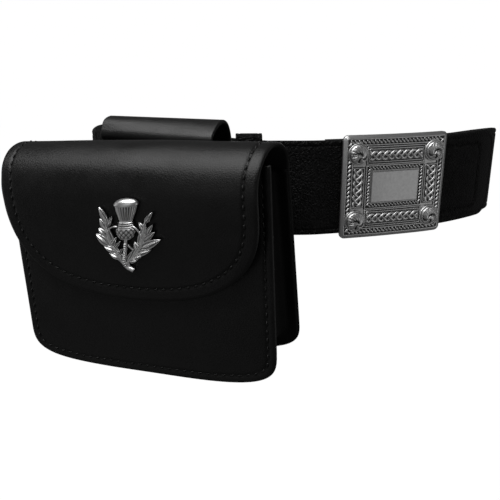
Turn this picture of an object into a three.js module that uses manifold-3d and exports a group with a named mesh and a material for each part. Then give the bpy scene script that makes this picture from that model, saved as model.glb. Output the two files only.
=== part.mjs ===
// A black leather pouch hung on a wide kilt belt with a cast buckle.
// Millimetres, +Z up, the pouch faces -Y. The origin is the middle of the waist the belt goes round.
import * as THREE from "three";
import { mergeVertices } from "three/addons/utils/BufferGeometryUtils.js";
import Module from "manifold-3d";

const wasm = await Module();
wasm.setup();

const seamGap = 0.35;

// The pouch is drawn upright in its own frame: x across, y back, z up from near its foot.
const pouchAcross = -40; // where the middle of the pouch hangs, seen from the waist's middle
const pouchBack = -135;
const pouchTilt = 2.5; // degrees the pouch hangs askew, its right side up
const hangHeight = 96.2; // height on the pouch that is level with the belt's middle

const panelHalfWidth = 79;
const panelFoot = -4.7;
const panelCorner = { height: 25, power: 4 };
const frontY = -42;
const frontTop = 117;
const frontThick = 2.2;
const frontBulge = 1.8;

const backFoot = 6.5; // the back's outer face at z = 0
const backLean = 0.14; // it leans forward this much for each millimetre up
const backThick = 2.4;
const flapHalfWidth = 76;
const flapLip = { height: 53.5, power: 2.4 };
const flapBulge = 2.2;

const gussetThick = 1.6;
const gussetTop = 112;

const loopHalfWidth = 36.5;
const loopThick = 2.4;

const beltHeight = 56;
const beltThick = 3.2;
const beltLap = beltThick + 0.4; // how far the outer layer stands off the inner one
const tipRadius = 13;
const tipReach = 84; // from the middle of the buckle to the belt's tip
const innerReach = 42; // from the middle of the buckle back to the hidden end
const buckleHeading = 46;
const pouchHeading = -17;

const keeperWidth = 15;
const keeperThick = 1.8;
const keeperSlack = 2.4; // free height over and under the belt
const keeperOffset = 48.5;

const buckleWidth = 67;
const buckleHeight = 61.5;
const plateThick = 2.4;

// The way round the waist. Heading 0 looks to the front, 90 to the right.
const waistTable = [
  { heading: -42, radius: 152.2, drop: 0 },
  { heading: -31, radius: 148.6, drop: 0 },
  { heading: -17, radius: 137, drop: 0 },
  { heading: -2, radius: 128.2, drop: 0 },
  { heading: 12, radius: 118.6, drop: 0 },
  { heading: 29, radius: 111.8, drop: 0 },
  { heading: 46, radius: 113, drop: 0 },
  { heading: 62, radius: 122, drop: -0.5 },
  { heading: 76, radius: 132.6, drop: -1.5 },
  { heading: 92, radius: 140, drop: 1 },
  { heading: 112, radius: 142, drop: 10 },
  { heading: 135, radius: 139, drop: 21 },
  { heading: 160, radius: 131, drop: 29 },
  { heading: 185, radius: 124, drop: 33 },
  { heading: 212, radius: 123, drop: 31 },
  { heading: 240, radius: 128, drop: 23 },
  { heading: 262, radius: 133, drop: 14 },
  { heading: 277, radius: 136.2, drop: 7 },
  { heading: 294, radius: 141.2, drop: 2 },
  { heading: 307, radius: 146.6, drop: 0 },
];

// The outside of the back and flap seen from the side, from the foot of the back over to the flap's lip.
const flapTable = [
  { y: -8.8, z: 109 },
  { y: -10.2, z: 116 },
  { y: -15, z: 122.2 },
  { y: -23, z: 125.6 },
  { y: -32, z: 126.2 },
  { y: -42, z: 123 },
  { y: -49.5, z: 116 },
  { y: -53, z: 106 },
  { y: -53, z: 95 },
  { y: -51.3, z: 80 },
  { y: -49, z: 62 },
  { y: -47.6, z: 45.4 },
];

// The middle of the belt loop's strap seen from the side, from its top seam over the belt to its lower seam.
const loopTable = [
  { off: 0, z: 100 },
  { off: 0, z: 110 },
  { off: 0.4, z: 118.6 },
  { off: 2.6, z: 126.8 },
  { off: 6.4, z: 132.9 },
  { off: 11.8, z: 135.4 },
  { off: 17, z: 133.4 },
  { off: 20.1, z: 127.7 },
  { off: 20.6, z: 118 },
  { off: 17, z: 92 },
  { off: 14.4, z: 74 },
  { off: 12, z: 65 },
  { off: 6.6, z: 57.4 },
  { off: 1.2, z: 52 },
  { off: 0, z: 46 },
  { off: 0, z: 37 },
];

// The folded side wall: inset from the panels' edge, and share of the way from front to back.
const gussetTable = [
  { inset: 0.9, share: 0 },
  { inset: 6, share: 0 },
  { inset: 8.2, share: 0.05 },
  { inset: 9.6, share: 0.22 },
  { inset: 12.4, share: 0.46 },
  { inset: 12.4, share: 0.54 },
  { inset: 9.6, share: 0.78 },
  { inset: 8.2, share: 0.95 },
  { inset: 6, share: 1 },
  { inset: 0.9, share: 1 },
];

// The thistle head turned round its stalk: radius at each height over the middle of the badge.
const thistleTable = [
  { radius: 0, height: -4.4 },
  { radius: 2.6, height: -3.8 },
  { radius: 5.2, height: -1.6 },
  { radius: 6, height: 1.2 },
  { radius: 5.5, height: 3.8 },
  { radius: 4.5, height: 5 },
  { radius: 5, height: 6 },
  { radius: 5, height: 8 },
  { radius: 4.3, height: 9.2 },
  { radius: 5.2, height: 13 },
  { radius: 6.6, height: 16.6 },
  { radius: 7.4, height: 17.6 },
  { radius: 7, height: 19.2 },
  { radius: 4.2, height: 20.4 },
  { radius: 0, height: 20.8 },
];

// Each thistle leaf's rib, seen from the front, with its half width there.
const leafTable = [
  { across: 0, up: -15, half: 1.2 },
  { across: 5, up: -11.5, half: 2.6 },
  { across: 10, up: -6.5, half: 3.6 },
  { across: 13, up: 0, half: 3.4 },
  { across: 13.4, up: 6, half: 2.4 },
  { across: 12.6, up: 13, half: 0.5 },
];

const leather = { color: 0x141414, roughness: 0.45, metalness: 0 };
const beltLeather = { color: 0x171717, roughness: 0.6, metalness: 0 };
const castMetal = { color: 0x8d8f92, roughness: 0.35, metalness: 1 };
const brightMetal = { color: 0xc9cbce, roughness: 0.25, metalness: 1 };

const root = new THREE.Group();
const pouch = new THREE.Group();
const hanger = new THREE.Group(); // the loop stays level with the belt
root.add(pouch, hanger);

function addMesh(group, name, geometry, look) {
  const mesh = new THREE.Mesh(geometry, new THREE.MeshStandardMaterial(look));
  mesh.name = name;
  group.add(mesh);
}

function facingOut(geometry) {
  const place = geometry.getAttribute("position");
  const index = geometry.index.array;
  const [a, b, c] = [new THREE.Vector3(), new THREE.Vector3(), new THREE.Vector3()];
  let volume = 0;
  for (let i = 0; i < index.length; i += 3) {
    a.fromBufferAttribute(place, index[i]);
    b.fromBufferAttribute(place, index[i + 1]);
    c.fromBufferAttribute(place, index[i + 2]);
    volume += a.dot(b.cross(c));
  }
  if (volume < 0) {
    for (let i = 0; i < index.length; i += 3) {
      [index[i + 1], index[i + 2]] = [index[i + 2], index[i + 1]];
    }
  }
  return geometry;
}

// A wall between two grids of points, closed round its edges.
function wall(front, back) {
  const rows = front.length;
  const columns = front[0].length;
  const lastRow = rows - 1;
  const lastColumn = columns - 1;
  const at = (side, row, column) => (side * rows + row) * columns + column;
  const faces = [];
  const quad = (a, b, c, d) => faces.push(a, b, c, a, c, d);
  for (let r = 0; r < lastRow; r++) {
    for (let c = 0; c < lastColumn; c++) {
      quad(at(0, r, c), at(0, r, c + 1), at(0, r + 1, c + 1), at(0, r + 1, c));
      quad(at(1, r, c), at(1, r + 1, c), at(1, r + 1, c + 1), at(1, r, c + 1));
    }
    quad(at(0, r, 0), at(0, r + 1, 0), at(1, r + 1, 0), at(1, r, 0));
    quad(at(0, r + 1, lastColumn), at(0, r, lastColumn), at(1, r, lastColumn), at(1, r + 1, lastColumn));
  }
  for (let c = 0; c < lastColumn; c++) {
    quad(at(0, 0, c + 1), at(0, 0, c), at(1, 0, c), at(1, 0, c + 1));
    quad(at(0, lastRow, c), at(0, lastRow, c + 1), at(1, lastRow, c + 1), at(1, lastRow, c));
  }
  const geometry = new THREE.BufferGeometry().setFromPoints([...front.flat(), ...back.flat()]);
  geometry.setIndex(faces);
  return facingOut(geometry);
}

function solidOf(geometry) {
  const bare = new THREE.BufferGeometry();
  bare.setAttribute("position", geometry.getAttribute("position").clone());
  bare.setIndex(geometry.index);
  const merged = mergeVertices(bare, 1e-4);
  const corners = merged.index.array;
  const kept = [];
  for (let i = 0; i < corners.length; i += 3) {
    const [a, b, c] = corners.slice(i, i + 3);
    if (a !== b && b !== c && c !== a) {
      kept.push(a, b, c);
    }
  }
  const mesh = new wasm.Mesh({
    numProp: 3,
    vertProperties: merged.getAttribute("position").array,
    triVerts: new Uint32Array(kept),
  });
  return new wasm.Manifold(mesh);
}

function geometryOf(solid) {
  const mesh = solid.getMesh();
  const geometry = new THREE.BufferGeometry();
  geometry.setAttribute("position", new THREE.BufferAttribute(mesh.vertProperties, 3));
  geometry.setIndex(new THREE.BufferAttribute(mesh.triVerts, 1));
  return geometry;
}

function unionOf(solids) {
  return solids.reduce((sum, next) => sum.add(next));
}

// Share of the full half width at a distance up from the lowest point of a rounded foot.
function footShare(distance, foot) {
  const left = Math.max(0, 1 - distance / foot.height);
  return Math.pow(1 - Math.pow(left, foot.power), 1 / foot.power);
}

// Distances along a sheet: close together near a rounded end, evenly spaced between.
function rowDistances(length, step, startRounded, endRounded) {
  const close = [0.25, 0.9, 2.2, 4.5, 8, 12.5, 18];
  const start = startRounded ? close : [0];
  const end = endRounded ? close.map((d) => length - d).reverse() : [length];
  const from = start[start.length - 1];
  const to = end[0];
  const count = Math.round((to - from) / step);
  const between = [];
  for (let i = 1; i < count; i++) {
    between.push(from + ((to - from) * i) / count);
  }
  return [...start, ...between, ...end];
}

// A leather sheet that follows a side view, with its own half width and bulge at each distance along it.
function sheet(curve, distances, columns, thick, halfWidth, bulge) {
  const length = curve.getLength();
  const front = [];
  const back = [];
  for (const distance of distances) {
    const place = curve.getPointAt(distance / length);
    const tangent = curve.getTangentAt(distance / length);
    const normal = new THREE.Vector3(0, -tangent.z, tangent.y);
    const half = halfWidth(distance);
    const frontRow = [];
    const backRow = [];
    for (let c = 0; c < columns; c++) {
      const share = (2 * c) / (columns - 1) - 1;
      const across = new THREE.Vector3(share * half, 0, 0);
      const lift = bulge(distance, share * half, half);
      frontRow.push(place.clone().add(across).addScaledVector(normal, -lift));
      backRow.push(place.clone().add(across).addScaledVector(normal, thick - lift));
    }
    front.push(frontRow);
    back.push(backRow);
  }
  return wall(front, back);
}

const backFaceY = (z) => backFoot - backLean * z;

function curveOf(points, closed = false) {
  const curve = new THREE.CatmullRomCurve3(points, closed, "centripetal");
  curve.arcLengthDivisions = 1200;
  return curve;
}

// Pouch: the front panel, its rounded foot first.
const frontCurve = new THREE.LineCurve3(
  new THREE.Vector3(0, frontY, frontTop),
  new THREE.Vector3(0, frontY, panelFoot),
);
const frontLength = frontTop - panelFoot;
const frontSheet = sheet(
  frontCurve,
  rowDistances(frontLength, 9, false, true),
  13,
  frontThick,
  (d) => panelHalfWidth * footShare(frontLength - d, panelCorner),
  (d, x) => {
    const rise = Math.min(1, (frontLength - d) / 40);
    return frontBulge * (1 - (x / panelHalfWidth) ** 2) * rise * rise * (3 - 2 * rise);
  },
);
addMesh(pouch, "front_panel", frontSheet, leather);

// Pouch: the back, which goes on over the top as the flap.
const backStart = new THREE.Vector3(0, backFaceY(panelFoot), panelFoot);
const backMiddle = new THREE.Vector3(0, backFaceY(60), 60);
const backUpper = new THREE.Vector3(0, backFaceY(100), 100);
const flapPoints = flapTable.map((row) => new THREE.Vector3(0, row.y, row.z));
const flapCurve = curveOf([backStart, backMiddle, backUpper, ...flapPoints]);
const flapLength = flapCurve.getLength();
const backLength = backStart.distanceTo(flapPoints[0]);
const flapWidthAt = (d) => {
  const share = Math.min(1, Math.max(0, (d - backLength) / 70));
  const full = panelHalfWidth + (flapHalfWidth - panelHalfWidth) * share;
  return full * footShare(d, panelCorner) * footShare(flapLength - d, flapLip);
};
const flapSheet = sheet(
  flapCurve,
  rowDistances(flapLength, 5, true, true),
  13,
  backThick,
  flapWidthAt,
  (d, x) => {
    const rise = Math.min(1, Math.max(0, (d - backLength) / 60));
    return flapBulge * (1 - (x / panelHalfWidth) ** 2) * rise * rise * (3 - 2 * rise);
  },
);
addMesh(pouch, "back_and_flap", flapSheet, leather);

// Pouch: the side wall, folded inwards like a bellows, down one side, along the foot and up the other.
const gussetFront = frontY + frontThick + seamGap + gussetThick / 2;
const gussetBackAt = (z) => backFaceY(z) - backThick * 1.01 - seamGap - gussetThick / 2;
const cornerZ = panelFoot + panelCorner.height;

function gussetPlace(step, inset) {
  const half = panelHalfWidth - inset;
  const deep = panelCorner.height - inset;
  if (step.side) {
    return { x: step.side * half, z: step.z };
  }
  const turn = 2 / panelCorner.power;
  const across = Math.cos(step.angle);
  return {
    x: half * Math.sign(across) * Math.pow(Math.abs(across), turn),
    z: cornerZ - deep * Math.pow(Math.sin(step.angle), turn),
  };
}

const gussetSteps = [];
const sideRows = 7;
for (let i = 0; i <= sideRows; i++) {
  gussetSteps.push({ side: 1, z: gussetTop + ((cornerZ - gussetTop) * i) / sideRows });
}
const footRows = 24;
for (let i = 1; i < footRows; i++) {
  gussetSteps.push({ side: 0, angle: (Math.PI * i) / footRows });
}
for (let i = sideRows; i >= 0; i--) {
  gussetSteps.push({ side: -1, z: gussetTop + ((cornerZ - gussetTop) * i) / sideRows });
}

function gussetGrid(side) {
  return gussetSteps.map((step) =>
    gussetTable.map((row, i) => {
      const depth = gussetBackAt(gussetPlace(step, row.inset).z) - gussetFront;
      const before = gussetTable[Math.max(0, i - 1)];
      const after = gussetTable[Math.min(gussetTable.length - 1, i + 1)];
      const run = new THREE.Vector2(after.inset - before.inset, (after.share - before.share) * depth);
      run.normalize().multiplyScalar((side * gussetThick) / 2);
      const place = gussetPlace(step, row.inset + run.y);
      const y = gussetFront + row.share * depth - run.x;
      return new THREE.Vector3(place.x, y, place.z);
    }),
  );
}
addMesh(pouch, "gusset", wall(gussetGrid(1), gussetGrid(-1)), leather);

// Pouch: the wide strap loop behind it that the belt goes through.
const loopSeat = seamGap + 0.3 + loopThick / 2;
const loopPoints = loopTable.map((row) => new THREE.Vector3(0, backFaceY(row.z) + loopSeat + row.off, row.z));
const loopCurve = curveOf(loopPoints);
const loopLength = loopCurve.getLength();
const loopSheet = sheet(
  loopCurve,
  rowDistances(loopLength, 4.2, false, false),
  3,
  loopThick,
  () => loopHalfWidth,
  () => loopThick / 2,
);
addMesh(hanger, "belt_loop", loopSheet, leather);

// Badge: a thistle in bright metal, flat behind, standing on the flap.
const badgeAcross = 3;
const badgeHeight = 81;
const badgeThick = 1.7;

function leafSolid(side) {
  const rib = curveOf(leafTable.map((row) => new THREE.Vector3(side * row.across, row.up, row.half)));
  const steps = 18;
  const outer = [];
  const inner = [];
  for (let i = 0; i <= steps; i++) {
    const place = rib.getPoint(i / steps);
    const tangent = rib.getTangent(i / steps);
    const across = new THREE.Vector2(tangent.y, -tangent.x).normalize();
    const spine = i % 3 === 1 ? 1.55 : 0.62;
    const half = place.z * (i === 0 || i === steps ? 1 : spine);
    outer.push(new THREE.Vector2(place.x + across.x * half, place.y + across.y * half));
    inner.push(new THREE.Vector2(place.x - across.x * half, place.y - across.y * half));
  }
  const shape = new THREE.Shape([...outer, ...inner.reverse()]);
  return solidOf(new THREE.ExtrudeGeometry(shape, { depth: badgeThick, bevelEnabled: false }));
}

function badgeSolid() {
  const profile = thistleTable.map((row) => new THREE.Vector2(row.radius, row.height));
  const head = new THREE.LatheGeometry(profile, 24);
  head.scale(1, 1, 0.72);
  const front = new THREE.BoxGeometry(60, 60, 20).translate(0, 0, 10);
  const headSolid = solidOf(head).intersect(solidOf(front));
  const stem = new THREE.BoxGeometry(2.6, 18, 2.2).translate(0.6, -11, 1.1);
  const foot = new THREE.BoxGeometry(6, 2, 1.8).rotateZ(-0.5).translate(2.6, -19.4, 0.9);
  return unionOf([headSolid, solidOf(stem), solidOf(foot), leafSolid(-1), leafSolid(1)]);
}

let badgeSeat = new THREE.Vector3();
let badgeTangent = new THREE.Vector3();
for (let i = 0; i <= 400; i++) {
  const share = 0.55 + (0.45 * i) / 400;
  const place = flapCurve.getPointAt(share);
  if (place.z > badgeHeight) {
    badgeSeat = place;
    badgeTangent = flapCurve.getTangentAt(share);
  }
}
const badgeUp = badgeTangent.clone().negate();
const badgeOut = new THREE.Vector3(1, 0, 0).cross(badgeUp);
const badgePlace = new THREE.Matrix4().makeBasis(new THREE.Vector3(1, 0, 0), badgeUp, badgeOut);
badgePlace.setPosition(badgeSeat.clone().setX(badgeAcross).addScaledVector(badgeOut, flapBulge + seamGap));
const badge = geometryOf(badgeSolid());
badge.applyMatrix4(badgePlace);
addMesh(pouch, "thistle_badge", badge, brightMetal);

pouch.rotation.y = THREE.MathUtils.degToRad(-pouchTilt);
const hung = new THREE.Vector3(0, 0, hangHeight).applyEuler(pouch.rotation);
pouch.position.set(pouchAcross, pouchBack, 0).sub(hung);
hanger.position.set(pouchAcross, pouchBack, -hangHeight);

// Belt: one strap once round the waist, its tip lapped over its hidden end behind the buckle.
const waistPoints = waistTable.map((row) => {
  const angle = THREE.MathUtils.degToRad(row.heading);
  return new THREE.Vector3(row.radius * Math.sin(angle), -row.radius * Math.cos(angle), -row.drop);
});
const waist = curveOf(waistPoints, true);
const waistLength = waist.getLength();

function lengthAtHeading(heading) {
  const angle = THREE.MathUtils.degToRad(heading);
  const aim = new THREE.Vector3(Math.sin(angle), -Math.cos(angle), 0);
  let best = 0;
  let bestDot = -Infinity;
  for (let i = 0; i < 3600; i++) {
    const place = waist.getPointAt(i / 3600).setZ(0).normalize();
    if (place.dot(aim) > bestDot) {
      bestDot = place.dot(aim);
      best = (i / 3600) * waistLength;
    }
  }
  return best;
}

// The place and directions on the belt's middle line at a length round the waist.
function beltFrame(length) {
  const share = (((length / waistLength) % 1) + 1) % 1;
  const place = waist.getPointAt(share);
  const along = waist.getTangentAt(share).setZ(0).normalize();
  const out = new THREE.Vector3(along.y, -along.x, 0);
  return { place, along, out };
}

function onBelt(length, height, out) {
  const frame = beltFrame(length);
  return frame.place.clone().addScaledVector(frame.out, out).add(new THREE.Vector3(0, 0, height));
}

const buckleAt = lengthAtHeading(buckleHeading);
const pouchAt = lengthAtHeading(pouchHeading);
const beltStart = buckleAt - innerReach;
const beltEnd = buckleAt + waistLength + tipReach;
const rampStart = beltStart + waistLength - 34;

function beltOut(length) {
  const share = Math.min(1, Math.max(0, (length - rampStart) / 31));
  return beltLap * share * share * (3 - 2 * share);
}

const beltLengths = rowDistances(beltEnd - beltStart, 9, false, true).map((d) => beltStart + d);
const beltFront = [];
const beltBack = [];
for (const length of beltLengths) {
  const short = Math.max(0, tipRadius - (beltEnd - length));
  const half = beltHeight / 2 - tipRadius + Math.sqrt(tipRadius ** 2 - short ** 2);
  const out = beltOut(length);
  const heights = [-half, 0, half];
  beltFront.push(heights.map((h) => onBelt(length, h, out + beltThick / 2)));
  beltBack.push(heights.map((h) => onBelt(length, h, out - beltThick / 2)));
}
const beltSolid = solidOf(wall(beltFront, beltBack));

function placeOnBelt(geometry, length, out) {
  const frame = beltFrame(length);
  const place = new THREE.Matrix4().makeBasis(frame.along, new THREE.Vector3(0, 0, 1), frame.out);
  place.setPosition(frame.place.clone().addScaledVector(frame.out, out));
  return geometry.applyMatrix4(place);
}

// Hook: the plain stud behind the buckle that holds both layers of the belt.
const hookRadius = 3;
const hookHead = 8;
const hookTop = beltLap + beltThick / 2 + 0.1;
const hookFoot = -beltThick / 2 - 0.4;
const hookProfile = [
  new THREE.Vector2(0, hookFoot - 1.6),
  new THREE.Vector2(hookHead, hookFoot - 1.6),
  new THREE.Vector2(hookHead, hookFoot),
  new THREE.Vector2(hookRadius, hookFoot),
  new THREE.Vector2(hookRadius, hookTop),
  new THREE.Vector2(0, hookTop),
];
const hookGeometry = new THREE.LatheGeometry(hookProfile, 24).rotateX(Math.PI / 2);
const hookSolid = solidOf(placeOnBelt(hookGeometry, buckleAt, 0));
addMesh(root, "buckle_hook", geometryOf(hookSolid), castMetal);

const holeGeometry = new THREE.CylinderGeometry(hookRadius + 0.4, hookRadius + 0.4, 16, 24).rotateX(Math.PI / 2);
const holeSolid = solidOf(placeOnBelt(holeGeometry, buckleAt, 0));
addMesh(root, "belt", geometryOf(beltSolid.subtract(holeSolid)), beltLeather);

// Keepers: two narrow leather bands round the belt, one each side of the pouch's loop.
function roundedRectangle(target, width, height, radius) {
  const x = width / 2;
  const y = height / 2;
  target.moveTo(-x + radius, -y);
  target.lineTo(x - radius, -y);
  target.absarc(x - radius, -y + radius, radius, -Math.PI / 2, 0);
  target.lineTo(x, y - radius);
  target.absarc(x - radius, y - radius, radius, 0, Math.PI / 2);
  target.lineTo(-x + radius, y);
  target.absarc(-x + radius, y - radius, radius, Math.PI / 2, Math.PI);
  target.lineTo(-x, -y + radius);
  target.absarc(-x + radius, -y + radius, radius, Math.PI, 1.5 * Math.PI);
  return target;
}

function keeperGeometry() {
  const innerHeight = beltHeight + 2 * keeperSlack;
  const innerDepth = beltThick + 1.3;
  const outline = roundedRectangle(
    new THREE.Shape(),
    innerDepth + 2 * keeperThick,
    innerHeight + 2 * keeperThick,
    3.4,
  );
  outline.holes.push(roundedRectangle(new THREE.Path(), innerDepth, innerHeight, 1.7));
  const band = new THREE.ExtrudeGeometry(outline, { depth: keeperWidth, curveSegments: 4, bevelEnabled: false });
  return band.translate(0, 0, -keeperWidth / 2).rotateY(Math.PI / 2);
}
addMesh(root, "keeper_left", placeOnBelt(keeperGeometry(), pouchAt - keeperOffset, 0), beltLeather);
addMesh(root, "keeper_right", placeOnBelt(keeperGeometry(), pouchAt + keeperOffset, 0), beltLeather);

// Buckle: one casting, bowed to the belt, with raised borders, four corner bosses and a plain middle.
const buckleBack = beltLap + beltThick / 2 + seamGap + 0.1;

function castBlock(fromAlong, toAlong, fromUp, toUp, fromOut, toOut, corner = 0) {
  const steps = Math.max(2, Math.round((toAlong - fromAlong) / 5));
  const shares = [];
  for (let i = 0; i <= steps; i++) {
    shares.push(fromAlong + ((toAlong - fromAlong) * i) / steps);
  }
  if (corner > 0) {
    shares.splice(1, 0, fromAlong + corner * 0.3, fromAlong + corner);
    shares.splice(shares.length - 1, 0, toAlong - corner, toAlong - corner * 0.3);
  }
  const rowAt = (along, out) => {
    const near = Math.min(along - fromAlong, toAlong - along);
    const short = Math.max(0, corner - near);
    const cut = corner - Math.sqrt(corner ** 2 - short ** 2);
    return [fromUp + cut, (fromUp + toUp) / 2, toUp - cut].map((up) => onBelt(buckleAt + along, up, out));
  };
  const front = shares.map((along) => rowAt(along, buckleBack + toOut));
  const back = shares.map((along) => rowAt(along, buckleBack + fromOut));
  return solidOf(wall(front, back));
}

function castBorder(halfAlong, halfUp, width, toOut) {
  const inAlong = halfAlong - width;
  const inUp = halfUp - width;
  return [
    castBlock(-halfAlong, halfAlong, inUp, halfUp, plateThick - 0.5, toOut),
    castBlock(-halfAlong, halfAlong, -halfUp, -inUp, plateThick - 0.5, toOut),
    castBlock(-halfAlong, -inAlong, -halfUp, halfUp, plateThick - 0.5, toOut),
    castBlock(inAlong, halfAlong, -halfUp, halfUp, plateThick - 0.5, toOut),
  ];
}

const bossAlong = 24.6;
const bossUp = 20;
const bossRadius = 6.8;

function cornerBoss(along, up) {
  const dome = new THREE.SphereGeometry(bossRadius, 20, 12).scale(1, 1, 0.55);
  dome.translate(0, up, 0);
  return solidOf(placeOnBelt(dome, buckleAt + along, buckleBack + plateThick));
}

const plateSolid = castBlock(-buckleWidth / 2, buckleWidth / 2, -buckleHeight / 2, buckleHeight / 2, 0, plateThick, 3);
const bosses = [];
for (const along of [-bossAlong, bossAlong]) {
  for (const up of [-bossUp, bossUp]) {
    bosses.push(cornerBoss(along, up));
  }
}
// The bosses are trimmed level with the back of the plate.
const trim = castBlock(-buckleWidth / 2 - 5, buckleWidth / 2 + 5, -40, 40, -12, plateThick * 0.4);
const buckleSolid = unionOf([
  plateSolid,
  ...castBorder(buckleWidth / 2 - 1.8, buckleHeight / 2 - 1.8, 3.4, plateThick + 1.5),
  ...castBorder(18.6, 12.6, 2.4, plateThick + 1.2),
  castBlock(-15.4, 15.4, -9.4, 9.4, plateThick - 0.5, plateThick + 0.5),
  castBlock(-17.4, 17.4, 16.6, 23.4, plateThick - 0.5, plateThick + 0.7),
  castBlock(-17.4, 17.4, -23.4, -16.6, plateThick - 0.5, plateThick + 0.7),
  castBlock(-27.6, -21, -10.4, 10.4, plateThick - 0.5, plateThick + 0.7),
  castBlock(21, 27.6, -10.4, 10.4, plateThick - 0.5, plateThick + 0.7),
  unionOf(bosses).subtract(trim),
]);
addMesh(root, "buckle", geometryOf(buckleSolid), castMetal);

export default root;
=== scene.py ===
import math

import bpy
import numpy as np
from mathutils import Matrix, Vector


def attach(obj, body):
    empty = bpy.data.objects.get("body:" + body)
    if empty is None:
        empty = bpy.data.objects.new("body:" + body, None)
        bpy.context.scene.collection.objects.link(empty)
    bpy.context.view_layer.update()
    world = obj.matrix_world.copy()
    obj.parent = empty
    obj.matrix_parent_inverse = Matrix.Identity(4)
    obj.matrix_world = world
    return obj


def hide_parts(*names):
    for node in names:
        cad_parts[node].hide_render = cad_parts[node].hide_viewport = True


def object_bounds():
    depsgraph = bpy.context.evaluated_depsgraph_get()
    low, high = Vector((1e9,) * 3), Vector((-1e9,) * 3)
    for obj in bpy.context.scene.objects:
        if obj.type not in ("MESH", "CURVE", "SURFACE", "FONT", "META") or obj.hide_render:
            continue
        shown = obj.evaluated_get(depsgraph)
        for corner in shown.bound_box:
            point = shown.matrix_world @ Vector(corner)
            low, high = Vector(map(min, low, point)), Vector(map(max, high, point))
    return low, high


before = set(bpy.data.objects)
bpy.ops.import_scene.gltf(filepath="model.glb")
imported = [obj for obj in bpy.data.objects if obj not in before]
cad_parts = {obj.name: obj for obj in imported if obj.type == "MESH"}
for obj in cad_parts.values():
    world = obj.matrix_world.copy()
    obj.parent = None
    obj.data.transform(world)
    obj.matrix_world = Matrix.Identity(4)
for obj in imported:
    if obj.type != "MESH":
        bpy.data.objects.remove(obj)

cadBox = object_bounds()
mm = 0.001  # pieces are worked out in millimetres and placed in metres
print("frame loaded:", len(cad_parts), "nodes")

# Selecting, as by hand

def pickNothing():
    bpy.ops.object.select_all(action="DESELECT")
    bpy.context.view_layer.objects.active = None


def pickOnly(*things):
    bpy.ops.object.select_all(action="DESELECT")
    for thing in things:
        thing.select_set(True)
    bpy.context.view_layer.objects.active = things[0]


def enterEdit():
    bpy.ops.object.mode_set(mode="EDIT")


def leaveEdit():
    bpy.ops.object.mode_set(mode="OBJECT")


def editNothing(kind):
    enterEdit()
    bpy.ops.mesh.select_mode(type=kind)
    bpy.ops.mesh.select_all(action="DESELECT")


def editAll():
    enterEdit()
    bpy.ops.mesh.select_all(action="SELECT")


def editFaces(piece, test):
    pickOnly(piece)
    editNothing("FACE")
    leaveEdit()
    for face in piece.data.polygons:
        face.select = test(face)
    enterEdit()


def editEdges(piece, test):
    pickOnly(piece)
    editNothing("EDGE")
    leaveEdit()
    spots = piece.data.vertices
    for edge in piece.data.edges:
        edge.select = test(*(spots[i].co for i in edge.vertices))
    enterEdit()


def joinAll(name, pieces):
    pickOnly(*pieces)
    bpy.ops.object.join()
    joined = bpy.context.object
    joined.name = name
    return joined


def bakeScale(piece):
    pickOnly(piece)
    bpy.ops.object.transform_apply(location=True, rotation=True, scale=True)


def pointsOf(piece):
    points = np.empty(len(piece.data.vertices) * 3)
    piece.data.vertices.foreach_get("co", points)
    return points.reshape(-1, 3)


def setPoints(piece, points):
    piece.data.vertices.foreach_set("co", np.asarray(points, float).ravel())
    piece.data.update()


# Lines that pieces follow

def curveThrough(points, closed=False, fine=40):
    spots = [np.array(p, float) for p in points]
    count = len(spots)
    line = []
    for i in range(count if closed else count - 1):
        b = spots[i]
        c = spots[(i + 1) % count]
        a = spots[i - 1] if closed or i > 0 else 2 * b - c
        d = spots[(i + 2) % count] if closed or i + 2 < count else 2 * c - b
        ab, bc, cd = (np.linalg.norm(q - p) ** 0.5 for p, q in ((a, b), (b, c), (c, d)))
        leave = ((b - a) / ab - (c - a) / (ab + bc) + (c - b) / bc) * bc
        reach = ((c - b) / bc - (d - b) / (bc + cd) + (d - c) / cd) * bc
        for t in np.arange(fine) / fine:
            bend = (3 * (c - b) - 2 * leave - reach) * t ** 2
            line.append(b + leave * t + bend + (2 * (b - c) + leave + reach) * t ** 3)
    line.append(spots[0] if closed else spots[-1])
    return np.array(line)


def lengthsOf(line):
    steps = np.linalg.norm(np.diff(line, axis=0), axis=1)
    return np.concatenate([[0], np.cumsum(steps)])


def walk(line, s):
    lengths = lengthsOf(line)
    slope = np.gradient(line, lengths, axis=0)
    place, along = (np.stack([np.interp(s, lengths, column) for column in way.T], -1)
                    for way in (line, slope))
    return place, along / np.linalg.norm(along, axis=-1, keepdims=True)


def ease(t):
    t = np.clip(t, 0, 1)
    return t * t * (3 - 2 * t)


def between(t, start, rise, stop, fall):
    return ease((t - start) / rise) * ease((stop - t) / fall)


# Meshes to start from

def blockPiece(name, size, place=(0, 0, 0)):
    pickNothing()
    bpy.ops.mesh.primitive_cube_add(size=1)
    block = bpy.context.object
    block.name = name
    block.scale = size
    block.location = place
    bakeScale(block)
    return block


def cutBall(segments, rings, radius, level):
    # a ball cut off flat at a level
    pickNothing()
    bpy.ops.mesh.primitive_uv_sphere_add(segments=segments, ring_count=rings, radius=radius)
    editAll()
    bpy.ops.mesh.bisect(plane_co=(0, 0, level), plane_no=(0, 0, 1), clear_inner=True, use_fill=True)
    leaveEdit()
    return bpy.context.object


def sliceAcross(cuts):
    for cut in cuts:
        bpy.ops.mesh.select_all(action="SELECT")
        bpy.ops.mesh.bisect(plane_co=(cut, 0, 0), plane_no=(1, 0, 0))


def gridPiece(name, points):
    rows, columns = points.shape[:2]
    pickNothing()
    bpy.ops.mesh.primitive_grid_add(x_subdivisions=columns - 1, y_subdivisions=rows - 1, size=1)
    piece = bpy.context.object
    piece.name = name
    setPoints(piece, points)
    return piece


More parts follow.
